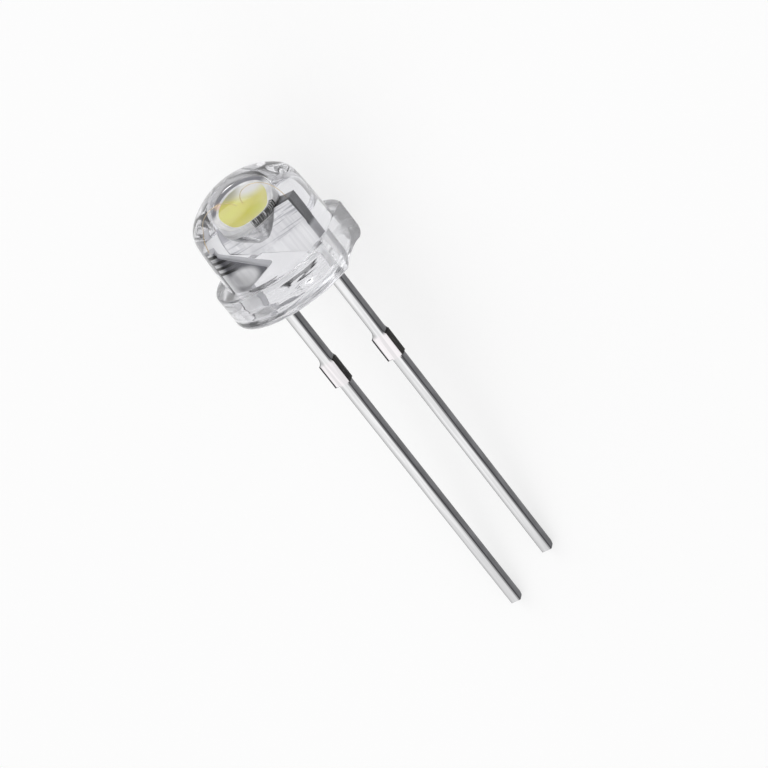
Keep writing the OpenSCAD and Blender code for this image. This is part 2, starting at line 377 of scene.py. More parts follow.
def new_material(name, packed=False, **values):
    """A material with one surface shader; returns it, its tree, the shader and the places.

    The places are in millimetres: on the upright lamp's axes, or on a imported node's own.
    """
    material = bpy.data.materials.new(name)
    material.use_nodes = True
    tree = material.node_tree
    tree.nodes.clear()
    shader = add(tree, "ShaderNodeBsdfPrincipled",
                 {key.replace("_", " "): value for key, value in values.items()})
    add(tree, "ShaderNodeOutputMaterial", {"Surface": shader.outputs[0]})
    if packed:
        own = add(tree, "ShaderNodeTexCoord").outputs["Object"]
        places = add(tree, "ShaderNodeVectorMath", {0: own, 1: [1 / MM] * 3},
                     operation="MULTIPLY").outputs[0]
    else:
        places = add(tree, "ShaderNodeAttribute", attribute_name="upright").outputs["Vector"]
    return material, tree, shader, places


def calc(tree, operation, *inputs):
    """The result of a sum on values and sockets."""
    return add(tree, "ShaderNodeMath", dict(enumerate(inputs)), operation=operation).outputs[0]


def times(tree, first, second):
    """The product of two values."""
    return calc(tree, "MULTIPLY", first, second)


def axes(tree, places):
    """The x, y and z of the places."""
    return add(tree, "ShaderNodeSeparateXYZ", {0: places}).outputs[:]


def away(tree, places, point):
    """The distance of the places from a point."""
    return add(tree, "ShaderNodeVectorMath", {0: places, 1: point},
               operation="DISTANCE").outputs["Value"]


def grain(tree, places, per_mm, detail=2.0):
    """Noise with its own number of features per millimetre along x, y and z."""
    scaled = add(tree, "ShaderNodeVectorMath", {0: places, 1: per_mm}, operation="MULTIPLY")
    return add(tree, "ShaderNodeTexNoise",
               {"Vector": scaled.outputs[0], "Scale": 1.0, "Detail": detail}).outputs["Fac"]


def within(tree, value, start, end, low=0.0, high=1.0):
    """Turns a value's stretch from start to end into one from low to high, smoothly."""
    return add(tree, "ShaderNodeMapRange",
               {"Value": value, "From Min": start, "From Max": end, "To Min": low,
                "To Max": high}, interpolation_type="SMOOTHSTEP").outputs["Result"]


def blend(tree, share, first, second):
    """Mixes two colours, or a colour and another mix, by a share."""
    # the mix node keeps its colour inputs at 6 and 7 and its colour result at 2
    return add(tree, "ShaderNodeMix", {0: share, 6: first, 7: second},
               data_type="RGBA").outputs[2]


def colour(tree, shader, tone):
    """Gives the surface a mixed tone."""
    tree.links.new(tone, shader.inputs["Base Color"])


def dent(tree, shader, height, depth_mm):
    """Lets a pattern's height, of a depth in millimetres, tilt the surface."""
    bump = add(tree, "ShaderNodeBump",
               {"Strength": 1.0, "Distance": depth_mm * MM, "Height": height})
    tree.links.new(bump.outputs[0], shader.inputs["Normal"])


EPOXY_IOR = 1.53
SAPPHIRE_IOR = 1.77


def epoxy_skin(name, colours, roughness, clear, waves_per_mm, detail, depth_mm):
    """One skin of the epoxy moulding, with its own share of clear light and its own waves."""
    material, tree, shader, places = new_material(
        name, Base_Color=colours.epoxy, Roughness=roughness, IOR=EPOXY_IOR,
        Transmission_Weight=clear)
    dent(tree, shader, grain(tree, places, waves_per_mm, detail), depth_mm)
    return material


def epoxy_skins(colours):
    """The moulding's skins, in the order of POLISHED, FLANGE_WALL, UNDERSIDE and SATIN.

    The lens is polished and slightly wavy, and the flange's wall has shallow level waves. The
    underside is nearly clear, and the cathode flat and the rim's edge are misty. That mist is
    there for the renderer: it lets out light that would be caught in the corners and show
    black.
    """
    return [epoxy_skin("water_clear_epoxy", colours, 0.0, 1.0, (1.0, 1.0, 1.6), 1.0, 0.008),
            epoxy_skin("flange_epoxy", colours, 0.0, 1.0, (0.5, 0.5, 3.0), 1.0, 0.05),
            epoxy_skin("open_cast_epoxy", colours, 0.02, 0.92, (0.7, 1.0, 1.0), 0.0, 0.06),
            epoxy_skin("satin_epoxy", colours, 0.12, 0.72, (1.2, 1.2, 1.2), 1.0, 0.02)]


PALE_TIN = srgb("#e2e2e3")


def tinned_lead(tree, x, height, rolled):
    """A lead's tone below the seat, painted: painted shade of the rounded edges as a grey strip and
    a dark edge, and duller ends.
    """
    # measured from the lead's own middle, so that both leads are alike
    lead_x = calc(tree, "MULTIPLY_ADD", calc(tree, "SIGN", x), M.anode_x, x)
    # painted shade of the rounded edges: a grey strip on the -x side and a dark edge on the +x side
    shade_strip_fade = within(tree, lead_x, -0.21, -0.06)
    edge_shade = within(tree, lead_x, 0.11, 0.16)
    towards_tip = within(tree, height, -9.0, -16.0, 0.0, 0.5)
    stub = times(tree, within(tree, height, -3.3, -3.5), within(tree, height, -4.6, -4.5))
    rolling_lines = within(tree, rolled, 0.6, 0.4, 0.0, 0.35)
    torn_end = times(tree, stub, within(tree, lead_x, -0.33, -0.35))
    tin = blend(tree, shade_strip_fade, srgb("#adadae"), PALE_TIN)
    tin = blend(tree, edge_shade, tin, srgb("#6c6c6e"))
    tin = blend(tree, towards_tip, tin, srgb("#b4b4b5"))
    tin = blend(tree, stub, tin, srgb("#e9e5e7"))
    tin = blend(tree, rolling_lines, tin, srgb("#b2b2b3"))
    return blend(tree, torn_end, tin, srgb("#2e2e30"))


def post_highlight_and_shade(tree, places, x, height, tone, highlight_spot, post):
    """The anode post's tone: painted shade round one painted highlight, and painted shade streaked
    at its grooves.
    """
    # painted highlight at one place on the post, with painted shade round it inside the epoxy
    shaded_round_highlight = times(tree, within(tree, away(tree, places, highlight_spot), 0.26, 0.5),
                 within(tree, x, -1.4, -1.25))
    in_epoxy = within(tree, height, 0.0, 0.1)
    post_shade_tone = blend(tree, within(tree, height, 0.9, 1.3), srgb("#dededf"), srgb("#606066"))
    tone = blend(tree, times(tree, shaded_round_highlight, in_epoxy), tone, post_shade_tone)
    # painted shade: a dark streak runs on past each groove's end
    step = calc(tree, "MULTIPLY_ADD", height, 1 / post.groove_pitch,
                -post.groove_start / post.groove_pitch)
    streak = times(tree, within(tree, calc(tree, "FRACT", step), 0.52, 0.42),
                   within(tree, height, post.groove_start - 0.05, post.groove_start))
    streak = times(tree, streak, within(tree, x, -0.95, -1.15))
    return blend(tree, streak, tone, srgb("#242428"))


def plated_face(colours, highlight_spot=None, post=None):
    """Bright plating on rolled strip: a soft mirror with faint rolling lines along the leads."""
    material, tree, shader, places = new_material(
        "plated_rolled_strip", Metallic=1.0, Roughness=0.28)
    x, _, height = axes(tree, places)
    rolled = grain(tree, places, (9.0, 9.0, 0.35))
    tone = blend(tree, within(tree, rolled, 0.35, 0.65), PALE_TIN, colours.plating)
    below_seat = within(tree, height, 0.1, -0.1)
    tone = blend(tree, below_seat, tone, tinned_lead(tree, x, height, rolled))
    # the anvil's head is striped across
    stripes = grain(tree, places, (0.5, 2.0, 10.0), detail=3.0)
    coined = times(tree, within(tree, height, 1.95, 2.1), within(tree, stripes, 0.5, 0.36))
    tone = blend(tree, coined, tone, srgb("#b4b4b8"))
    # painted highlight and shade on the anode post
    if highlight_spot:
        tone = post_highlight_and_shade(tree, places, x, height, tone, highlight_spot, post)
    colour(tree, shader, tone)
    dent(tree, shader, rolled, 0.002)
    return material


def sheared_side(colours):
    """The strip's stamped sides, matt and darker than the faces."""
    material, tree, shader, places = new_material(
        "plated_sheared_side", Metallic=1.0, Roughness=0.4)
    x, across, height = axes(tree, places)
    drawn = grain(tree, places, (4.0, 3.0, 1.2), detail=3.0)
    tone = blend(tree, within(tree, drawn, 0.35, 0.7), colours.sheared, srgb("#7a7a7d"))
    tone = blend(tree, within(tree, across, -0.12, -0.2), tone, srgb("#545457"))
    # painted light and shade: paler inside the epoxy, as lit, but left dark, as shaded, on the
    # anvil's upper side and the post's outer one
    lit_inside_epoxy = calc(tree, "MAXIMUM", within(tree, height, 2.0, 1.8), within(tree, x, 0.6, 0.4))
    lit_inside_epoxy = times(tree, within(tree, height, -0.05, 0.0), lit_inside_epoxy)
    lit_inside_epoxy = times(tree, lit_inside_epoxy, within(tree, x, -1.42, -1.36))
    colour(tree, shader, blend(tree, lit_inside_epoxy, tone, srgb("#cfcfd2")))
    dent(tree, shader, drawn, 0.01)
    return material


def bare_cut(colours):
    """Bare steel where the tie bars were cut off: nearly black and rough."""
    material, tree, shader, places = new_material(
        "bare_cut_steel", Metallic=1.0, Roughness=0.6)
    torn = grain(tree, places, (14.0, 14.0, 3.0), detail=4.0)
    colour(tree, shader, blend(tree, within(tree, torn, 0.4, 0.7), colours.cut,
                               srgb("#484746")))
    dent(tree, shader, torn, 0.02)
    return material


def settled_phosphor(colours):
    """Yellow phosphor powder in clear silicone, settled in the cup: matt under a wet surface."""
    material, tree, shader, places = new_material(
        "settled_phosphor", Roughness=0.6, Coat_Weight=0.6, Coat_Roughness=0.1)
    x, _, _ = axes(tree, places)
    powder = grain(tree, places, (40.0, 40.0, 40.0), detail=4.0)
    cloud = grain(tree, places, (1.8, 1.8, 1.8), detail=1.0)
    tone = blend(tree, within(tree, powder, 0.3, 0.7), colours.phosphor, srgb("#dcd748"))
    tone = blend(tree, within(tree, x, 0.1, 0.75), tone, colours.phosphor_pale)
    tone = blend(tree, within(tree, cloud, 0.5, 0.75, 0.0, 0.5), tone, srgb("#e6ea3a"))
    # a painted highlight makes the far side nearly white, and a greyer patch is painted shade
    from_highlight = away(tree, places, (0.1, 0.9, M.fill_top))
    tone = blend(tree, within(tree, from_highlight, 0.9, 0.4), tone, srgb("#fefdf8"))
    from_shade_patch = away(tree, places, (-0.5, 0.6, M.fill_top))
    tone = blend(tree, within(tree, from_shade_patch, 0.45, 0.1, 0.0, 0.8), tone, srgb("#a9a78a"))
    colour(tree, shader, tone)
    dent(tree, shader, powder, 0.004)
    return material


def drawn_silver():
    """The cup's outside: a clear silver mirror with faint lines down it."""
    material, tree, shader, places = new_material(
        "drawn_silver", Metallic=1.0, Roughness=0.16)
    drawn = grain(tree, places, (7.0, 7.0, 1.0))
    colour(tree, shader, blend(tree, within(tree, drawn, 0.3, 0.7), srgb("#d9d9d9"),
                               srgb("#b9b9bb")))
    dent(tree, shader, drawn, 0.006)
    return material


def reflector_plating(colours, anvil):
    """Silver-plated cup, brushed matt: white rather than mirror, with a scored rim."""
    material, tree, shader, places = new_material(
        "matt_silver_reflector", Metallic=0.45, Roughness=0.42)
    x, y, height = axes(tree, places)
    flat = add(tree, "ShaderNodeCombineXYZ", {"X": x, "Y": y})
    radius = add(tree, "ShaderNodeVectorMath", {0: flat.outputs[0]},
                 operation="LENGTH").outputs["Value"]
    turn = calc(tree, "ARCTAN2", y, x)
    fan = add(tree, "ShaderNodeCombineXYZ", {"X": turn, "Y": radius}).outputs[0]
    # dark radial scores over part of the rim
    scores = grain(tree, fan, (52.0, 2.5, 1.0))
    middle, half = math.radians(-40), math.radians(30.4)
    beside = calc(tree, "COMPARE", turn, middle, half)
    band_z = M.rim_top - anvil.rim_band
    on_top = within(tree, height, band_z - 0.2, band_z - 0.12)
    outside = within(tree, radius, anvil.mouth_r + 0.04, anvil.mouth_r + 0.06)
    dragged = times(tree, times(tree, beside, on_top),
                    times(tree, outside, within(tree, scores, 0.63, 0.55)))
    brushed = grain(tree, fan, (3.0, 18.0, 1.0))
    tone = blend(tree, within(tree, brushed, 0.3, 0.7), colours.reflector, srgb("#e4e4e4"))
    # painted shade on the rim's far side, and a painted warm glint at one place on it
    behind = add(tree, "ShaderNodeVectorMath", {0: places, 1: (-0.48, 0.88, 0.0)},
                 operation="DOT_PRODUCT").outputs["Value"]
    rim_shade = times(tree, within(tree, behind, 0.1, 0.45),
                   within(tree, radius, anvil.mouth_r + 0.05, anvil.mouth_r + 0.08))
    tone = blend(tree, rim_shade, tone, srgb("#75757c"))
    warm_glint = away(tree, places, (-0.75, 0.25, M.rim_top))
    tone = blend(tree, within(tree, warm_glint, 0.2, 0.05, 0.0, 0.7), tone, srgb("#ffd9b8"))
    colour(tree, shader, blend(tree, dragged, tone, srgb("#0e0e0f")))
    dent(tree, shader, scores, 0.004)
    return material


def sapphire_die():
    """The light-giving chip: bluish crystal with faint steps on its sides, glossy."""
    material, tree, shader, places = new_material("sapphire_die", packed=True, Roughness=0.15,
                                                  IOR=SAPPHIRE_IOR)
    steps = grain(tree, places, (8.0, 8.0, 30.0))
    colour(tree, shader, blend(tree, within(tree, steps, 0.35, 0.65), srgb("#aab4c4"),
                               srgb("#8e9ab0")))
    dent(tree, shader, steps, 0.002)
    return material


def silver_paste():
    """Silver flakes in resin under the die: grey, half metallic and grainy."""
    material, tree, shader, places = new_material("silver_paste", packed=True, Metallic=0.7,
                                                  Roughness=0.5)
    flakes = grain(tree, places, (60.0, 60.0, 60.0), detail=4.0)
    colour(tree, shader, blend(tree, within(tree, flakes, 0.35, 0.65), srgb("#c4c4c6"),
                               srgb("#97979a")))
    dent(tree, shader, flakes, 0.003)
    return material


def bond_gold(colours):
    """Drawn gold wire: a warm, smooth metal with faint drawing lines."""
    material, tree, shader, places = new_material(
        "drawn_bond_gold", Metallic=1.0, Roughness=0.2)
    drawn = grain(tree, places, (12.0, 60.0, 12.0))
    colour(tree, shader, blend(tree, drawn, colours.gold, srgb("#dcbd82")))
    return material


# ---------------------------------------------------------------- pieces

POLISHED, FLANGE_WALL, UNDERSIDE, SATIN = 0, 1, 2, 3


def moulding(s):
    """The lens on its flange: one outline turned about the axis and cut off at the flat."""
    near = 1e-4
    dish_steps, climb_steps, under_edge_steps, top_edge_steps = 20, 12, 10, 5
    side_steps, dome_edge_steps, dome_steps = 32, 20, 44
    flange_h = M.rim_end + s.top_edge_r
    dome_c = M.overall_h - s.dome_r
    slope = math.tan(s.draft)
    # the centre of the dome's edge rounding lies at equal distances from the dome and the side
    k = s.lens_r - s.dome_edge_r / math.cos(s.draft) + flange_h * slope
    b = k * slope + dome_c
    q = 1 + slope ** 2
    gap = s.dome_r - s.dome_edge_r
    edge_z = (b + math.sqrt(b ** 2 - q * (k ** 2 + dome_c ** 2 - gap ** 2))) / q
    edge_x = k - edge_z * slope
    edge_end = math.atan2(edge_z - dome_c, edge_x)

    seat_r = M.flange_r - M.under_edge_r
    dish_r = s.dish / (1 - math.cos(s.climb))
    dish_end = seat_r - dish_r * math.sin(s.climb)
    pen = Pen(0, s.dish)
    pen.line(*[(dish_end * i / dish_steps, s.dish) for i in range(1, dish_steps + 1)])
    pen.arc(pen.tip.co.x, s.dish - dish_r, -s.climb, climb_steps)
    pen.arc(seat_r, M.under_edge_r - s.parting, math.pi / 2, under_edge_steps)
    pen.line((M.flange_r, M.under_edge_r), (M.flange_r, M.rim_end))
    pen.arc(M.flange_r - s.top_edge_r, M.rim_end, math.pi / 2, top_edge_steps)
    pen.line((s.lens_r, flange_h))
    below_lens = len(pen.bm.verts)
    side = Vector((edge_x + s.dome_edge_r * math.cos(s.draft) - s.lens_r,
                   edge_z + s.dome_edge_r * math.sin(s.draft) - flange_h))
    pen.line(*[(s.lens_r + side.x * i / side_steps, flange_h + side.y * i / side_steps)
               for i in range(1, side_steps + 1)])
    pen.arc(edge_x, edge_z, edge_end - s.draft, dome_edge_steps)
    pen.arc(0, dome_c, math.pi / 2 - edge_end, dome_steps)
    pen.bm.verts.ensure_lookup_table()
    lens_run = pen.bm.verts[below_lens:-1]
    for _ in range(s.polish):
        bmesh.ops.smooth_vert(pen.bm, verts=lens_run, factor=0.5, use_axis_x=True,
                              use_axis_z=True)
    bm = pen.spun(s.facets)
    for vert in bm.verts:
        radius = vert.co.xy.length
        if abs(vert.co.z - s.dish) < near and radius <= dish_end + near:
            # rings that are bent round the axis and die away within 0.4 mm of the dish's end
            turn = math.atan2(vert.co.y, vert.co.x)
            wave = math.cos(5.2 * radius + 0.8 * math.sin(2 * turn) + 0.5 * math.sin(3 * turn))
            vert.co.z += s.ripple * wave * min(1, (dish_end - radius) / 0.4)

    cut = bmesh.ops.bisect_plane(
        bm, geom=bm.verts[:] + bm.edges[:] + bm.faces[:], plane_co=(M.flat_x, 0, 0),
        plane_no=(1, 0, 0), clear_outer=True)["geom_cut"]
    bmesh.ops.holes_fill(bm, edges=[g for g in cut if isinstance(g, bmesh.types.BMEdge)])
    bmesh.ops.recalc_face_normals(bm, faces=bm.faces)
    for face in bm.faces:
        middle = face.calc_center_median()
        radius = middle.xy.length
        if abs(face.normal.x) > 0.99 and middle.x > M.flat_x - 1e-3:
            face.material_index = SATIN
        elif middle.z < M.under_edge_r and radius > dish_end + 0.05:
            face.material_index = SATIN
        elif middle.z < s.dish + 2 * s.ripple and face.normal.z < -0.5:
            face.material_index = UNDERSIDE
        elif M.under_edge_r < middle.z < M.rim_end and radius > s.lens_r + 0.1:
            face.material_index = FLANGE_WALL
        else:
            face.material_index = POLISHED
    return bm


FILLET_STEPS = 6


def climb(pen, s, edge, out):
    """Draws a lead's +x side upwards past its stub, to the end of the fillet above it."""
    turn = math.acos(1 - out / s.stub_fillet_r)
    top = -s.stub_drop
    pen.line((edge, top - s.stub_h), (edge + out, top - s.stub_h), (edge + out, top))
    pen.arc(edge + s.stub_fillet_r, top + s.stub_fillet_r * math.sin(turn), -turn,
            FILLET_STEPS)


def descend(pen, s, edge, out):
    """Draws a lead's -x side downwards past its stub."""
    turn = math.acos(1 - out / s.stub_fillet_r)
    top = -s.stub_drop
    start = top + s.stub_fillet_r * math.sin(turn)
    pen.line((edge, start))
    pen.arc(edge - s.stub_fillet_r, start, -turn, FILLET_STEPS)
    pen.line((edge - out, top - s.stub_h), (edge, top - s.stub_h))


ROLLED, SHEARED, CUT = 0, 1, 2


def strike(bm, s, lead_x):
    """Tells the rolled, sheared and cut faces apart, then coins the edges between them."""
    tip_z = -s.stub_drop - 2 * s.stub_h
    stub_x = s.width / 2 + s.edge_r / 2
    for face in bm.faces:
        middle = face.calc_center_median()
        past_side = abs(middle.x - lead_x) > stub_x
        is_stub_end = past_side and abs(face.normal.x) > 0.9 and middle.z < 0
        is_tip = face.normal.z < -0.9 and middle.z < tip_z
        if abs(face.normal.y) > 0.5:
            face.material_index = ROLLED
        elif is_stub_end or is_tip:
            face.material_index = CUT
        else:
            face.material_index = SHEARED
    rolled_over = [e for e in bm.edges
                   if {f.material_index for f in e.link_faces} == {ROLLED, CUT}
                   and all(v.co.y > 0 and v.co.z < tip_z for v in e.verts)]
    bmesh.ops.bevel(bm, geom=rolled_over, offset=s.tip_roll_r, affect="EDGES", segments=5,
                    profile=0.5, material=-1, clamp_overlap=False)
    edges = []
    for edge in bm.edges:
        first, last = edge.verts
        across_tip = first.co.z < tip_z and abs(first.co.x - last.co.x) > s.width / 2
        if {f.material_index == ROLLED for f in edge.link_faces} == {True, False}:
            if not across_tip:
                edges.append(edge)
    bmesh.ops.bevel(bm, geom=edges, offset=s.edge_r, affect="EDGES", segments=3, profile=0.5,
                    material=-1, clamp_overlap=False)
    for face in bm.faces:
        middle = face.calc_center_median()
        past_side = abs(middle.x - lead_x) > stub_x
        if past_side and middle.z < 0 and 0.3 < abs(face.normal.x) < 0.95:
            face.material_index = CUT
    bmesh.ops.recalc_face_normals(bm, faces=bm.faces)


def thicken_head(bm, start, rise):
    """Raises both faces of the anvil's head, over a slope as long as it is high."""
    for height in (start, start + rise):
        bmesh.ops.bisect_plane(bm, geom=bm.verts[:] + bm.edges[:] + bm.faces[:],
                               plane_co=(0, 0, height), plane_no=(0, 0, 1))
    for vert in bm.verts:
        if vert.co.z > start + rise / 2:
            vert.co.y += math.copysign(rise, vert.co.y)
    bmesh.ops.dissolve_limit(bm, angle_limit=math.radians(1), verts=bm.verts, edges=bm.edges)
    bmesh.ops.recalc_face_normals(bm, faces=bm.faces)


def cathode_plate(s, a):
    """The cathode lead and its anvil, stamped in one piece."""
    left, right = M.cathode_x - s.width / 2, M.cathode_x + s.width / 2
    pen = Pen(right, M.cathode_tip)
    climb(pen, s, right, s.stub_cathode_out)
    pen.line((right, a.top), (-a.reach, a.top), (-a.reach, a.toe), (left, a.heel))
    descend(pen, s, left, s.stub_anode_out)
    pen.line((left, M.cathode_tip))
    bm = pen.stamped(M.lead_t)
    thicken_head(bm, a.head_start, (a.head_t - M.lead_t) / 2)
    strike(bm, s, M.cathode_x)
    return bm


MATT, DRAWN = 0, 1
CUP_FACETS = 96


def cup_wall(a):
    """The outside of the reflector cup, solid up to its mouth."""
    mouth_z = M.rim_top - a.rim_fall
    band_z = M.rim_top - a.rim_band
    matt_share = 0.22
    neck = (M.rim_r + (a.foot_r - M.rim_r) * matt_share,
            band_z + (a.foot_z - band_z) * matt_share)
    pen = Pen(0, a.foot_z)
    pen.line((a.foot_r, a.foot_z), neck, (M.rim_r, band_z), (M.rim_r, M.rim_top),
             (a.mouth_r, mouth_z), (0, mouth_z))
    bm = pen.spun(CUP_FACETS)
    for face in bm.faces:
        face.material_index = DRAWN if face.calc_center_median().z < neck[1] else MATT
    return bm


def cup_punch(a):
    """The cone that the punch presses into the cup, carried on above the mouth."""
    mouth_z = M.rim_top - a.rim_fall
    slope = (a.mouth_r - a.floor_r) / (mouth_z - M.floor_z)
    above = 0.5
    pen = Pen(0, M.floor_z)
    pen.line((a.floor_r, M.floor_z), (a.mouth_r + slope * above, mouth_z + above),
             (0, mouth_z + above))
    return pen.spun(CUP_FACETS)


def touch_angle(point, centre, radius, side):
    """The angle, seen from a circle's centre, at which a line from a point touches it."""
    away = Vector(point) - Vector(centre)
    return math.atan2(away.y, away.x) + side * math.acos(radius / away.length)


def anode_plate(s, p):
    """The anode lead, its post and the toe that reaches under the anvil."""
    left, right = M.anode_x - s.width / 2, M.anode_x + s.width / 2
    toe = (-p.toe_x, p.toe_z)
    shoulder = (left + p.pad_w, M.post_top - p.pad_h)
    root = (right, p.toe_root)
    first = touch_angle(root, toe, p.toe_r, 1)
    last = touch_angle(shoulder, toe, p.toe_r, -1)
    pen = Pen(right, M.anode_tip)
    climb(pen, s, right, s.stub_cathode_out)
    pen.line(root, (toe[0] + p.toe_r * math.cos(first), toe[1] + p.toe_r * math.sin(first)))
    pen.arc(*toe, (last - first) % math.tau, 8)
    pen.line(shoulder, (left + p.pad_w, M.post_top), (left, M.post_top))
    descend(pen, s, left, s.stub_anode_out)
    pen.line((left, M.anode_tip))
    bm = pen.stamped(M.lead_t)
    strike(bm, s, M.anode_x)
    return bm


def key_groove(s, p, index):
    """The cutter of one groove across the post's front."""
    past = 0.2
    bm = bmesh.new()
    bmesh.ops.create_cube(bm, size=1.0)
    bmesh.ops.scale(bm, verts=bm.verts,
                    vec=(p.groove_len + past, p.groove_depth + past, p.groove_h))
    left = M.anode_x - s.width / 2
    bmesh.ops.translate(bm, verts=bm.verts, vec=(
        left + (p.groove_len - past) / 2,
        -M.lead_t / 2 + (p.groove_depth - past) / 2,
        p.groove_start + index * p.groove_pitch + p.groove_h / 2))
    return bm


def wire_loop(w, centre, radius, first, last):
    """A round wire bent to an arc in the plane of the frame."""
    bm = bmesh.new()
    bmesh.ops.create_circle(bm, cap_ends=True, radius=w.wire_d / 2, segments=12)
    bmesh.ops.translate(bm, verts=bm.verts, vec=(radius, 0, 0))
    bmesh.ops.rotate(bm, verts=bm.verts, cent=(0, 0, 0),
                     matrix=Matrix.Rotation(-first, 3, "Y"))
    bmesh.ops.translate(bm, verts=bm.verts, vec=(centre[0], 0, centre[1]))
    bmesh.ops.spin(bm, geom=bm.faces[:], cent=(centre[0], 0, centre[1]), axis=(0, -1, 0),
                   angle=last - first, steps=48, use_duplicate=False)
    bmesh.ops.remove_doubles(bm, verts=bm.verts, dist=MERGE)
    bmesh.ops.recalc_face_normals(bm, faces=bm.faces)
    return bm


def phosphor_body(a, w):
    """The fill of the cup, with the shallow hollow that its surface sets in."""
    sphere_r = (M.fill_r ** 2 + w.sag ** 2) / (2 * w.sag)
    pen = Pen(0, M.floor_z)
    pen.line((a.floor_r, M.floor_z), (M.fill_r, M.fill_top))
    pen.arc(0, M.fill_top - w.sag + sphere_r, -math.asin(M.fill_r / sphere_r), 12)
    return pen.spun(CUP_FACETS)


class LAMP_OT_moulding(bpy.types.Operator):
    """Model the clear epoxy moulding."""
    bl_idname = "lamp.moulding"
    bl_label = "Moulding"

    def execute(self, context):
        scene = context.scene
        bm = moulding(in_mm(scene.lamp_moulding))
        colours = scene.lamp_finishes
        piece = as_object(bm, "clear_moulding", epoxy_skins(colours))
        lay_down(piece, "clear_epoxy", "epoxy_body")
        return {"FINISHED"}


class LAMP_OT_cathode(bpy.types.Operator):
    """Model the cathode lead, its anvil and the reflector cup."""
    bl_idname = "lamp.cathode"
    bl_label = "Cathode lead and cup"

    def execute(self, context):
        scene = context.scene
        colours = scene.lamp_finishes
        anvil = in_mm(scene.lamp_anvil)
        faces = [plated_face(colours), sheared_side(colours), bare_cut(colours)]
        cup = [reflector_plating(colours, anvil), drawn_silver()]
        bm = cathode_plate(in_mm(scene.lamp_leads), anvil)
        piece = as_object(bm, "cathode_frame", faces)
        combine(piece, as_object(cup_wall(anvil), "cup_wall", cup), "UNION")
        combine(piece, as_object(cup_punch(anvil), "cup_punch", cup[:1]), "DIFFERENCE")
        lay_down(piece, "tinned_frame", "cathode_lead")
        return {"FINISHED"}


class LAMP_OT_anode(bpy.types.Operator):
    """Model the anode lead and its grooved post."""
    bl_idname = "lamp.anode"
    bl_label = "Anode lead and post"

    def execute(self, context):
        scene = context.scene
        colours = scene.lamp_finishes
        leads, post = in_mm(scene.lamp_leads), in_mm(scene.lamp_post)
        # the place of the painted highlight on the anode post
        highlight_spot = (M.anode_x + leads.width / 2, -M.lead_t / 2, post.toe_root + leads.width)
        faces = [plated_face(colours, highlight_spot, post), sheared_side(colours), bare_cut(colours)]
        piece = as_object(anode_plate(leads, post), "anode_frame", faces)
        for index in range(post.grooves):
            cutter = as_object(key_groove(leads, post, index), "groove", faces[2:])
            combine(piece, cutter, "DIFFERENCE")
        lay_down(piece, "tinned_frame", "anode_lead")
        return {"FINISHED"}


class LAMP_OT_fill(bpy.types.Operator):
    """Model the phosphor fill of the cup."""
    bl_idname = "lamp.fill"
    bl_label = "Phosphor fill"

    def execute(self, context):
        scene = context.scene
        bm = phosphor_body(in_mm(scene.lamp_anvil), in_mm(scene.lamp_wires))
        piece = as_object(bm, "phosphor", [settled_phosphor(scene.lamp_finishes)])
        lay_down(piece, "phosphor", "phosphor_fill")
        return {"FINISHED"}


class LAMP_OT_die(bpy.types.Operator):
    """Finish the die and the silver paste below it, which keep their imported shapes."""
    bl_idname = "lamp.die"
    bl_label = "Die and paste"

    def execute(self, context):
        for node, material in (("led_die", sapphire_die()), ("die_attach", silver_paste())):
            mesh = frame["nodes"][node].data
            mesh.materials.clear()
            mesh.materials.append(material)
        return {"FINISHED"}


class LAMP_OT_wires(bpy.types.Operator):
    """Model both bond wires."""
    bl_idname = "lamp.wires"
    bl_label = "Bond wires"

    def execute(self, context):
        scene = context.scene
        leads, wires = in_mm(scene.lamp_leads), in_mm(scene.lamp_wires)
        post, anvil = in_mm(scene.lamp_post), in_mm(scene.lamp_anvil)
        gold = bond_gold(scene.lamp_finishes)

        far = M.anode_x - leads.width / 2 + post.pad_w / 2
        radius = (-wires.bond_x - far) / 2
        bm = wire_loop(wires, (far + radius, M.die_top), radius, 0, math.pi)
        piece = as_object(bm, "anode_bond", [gold])
        lay_down(piece, "gold_wire", "anode_wire")

        near = Vector((wires.bond_x, M.die_top))
        stitch = Vector((wires.stitch_x, anvil.top))
        half = (stitch - near) / 2
        lift = math.sqrt(wires.loop_r ** 2 - half.length_squared) / half.length
        centre = near + half + lift * Vector((-half.y, half.x))
        first = math.atan2(stitch.y - centre.y, stitch.x - centre.x)
        last = math.atan2(near.y - centre.y, near.x - centre.x) % math.tau
        bm = wire_loop(wires, centre, wires.loop_r, first, last)
        piece = as_object(bm, "cathode_bond", [gold])
        lay_down(piece, "gold_wire", "cathode_wire")
        return {"FINISHED"}


class LAMP_OT_stage(bpy.types.Operator):
    """Set the pale floor, the soft light and the camera."""
    bl_idname = "lamp.stage"
    bl_label = "Stage"

    def execute(self, context):
        scene = context.scene
        stage = scene.lamp_stage
        scene.view_settings.view_transform = "Standard"
        floor_z = CAD_BOX[0].z

        bm = bmesh.new()
        bmesh.ops.create_grid(bm, x_segments=1, y_segments=1, size=1.0)
        bmesh.ops.translate(bm, verts=bm.verts, vec=(0, 0, floor_z))
        floor = as_object(bm, "floor", [pale_floor()])

        world = bpy.data.worlds.new("soft_studio")
        world.use_nodes = True
        scene.world = world
        light_world(world.node_tree)

        data = bpy.data.cameras.new("camera")
        data.lens = stage.lens
        data.sensor_width = 36
        data.clip_start = MM
        camera = bpy.data.objects.new("camera", data)
        scene.collection.objects.link(camera)
        back = Vector((math.sin(stage.azimuth) * math.cos(stage.elevation),
                       -math.cos(stage.azimuth) * math.cos(stage.elevation),
                       math.sin(stage.elevation)))
        camera.rotation_mode = "QUATERNION"
        camera.rotation_quaternion = ((-back).to_track_quat("-Z", "Y")
                                      @ Quaternion((0, 0, 1), stage.roll))
        camera.location = REST @ Vector(stage.aim) + back * stage.distance
        scene.camera = camera
        return {"FINISHED"}


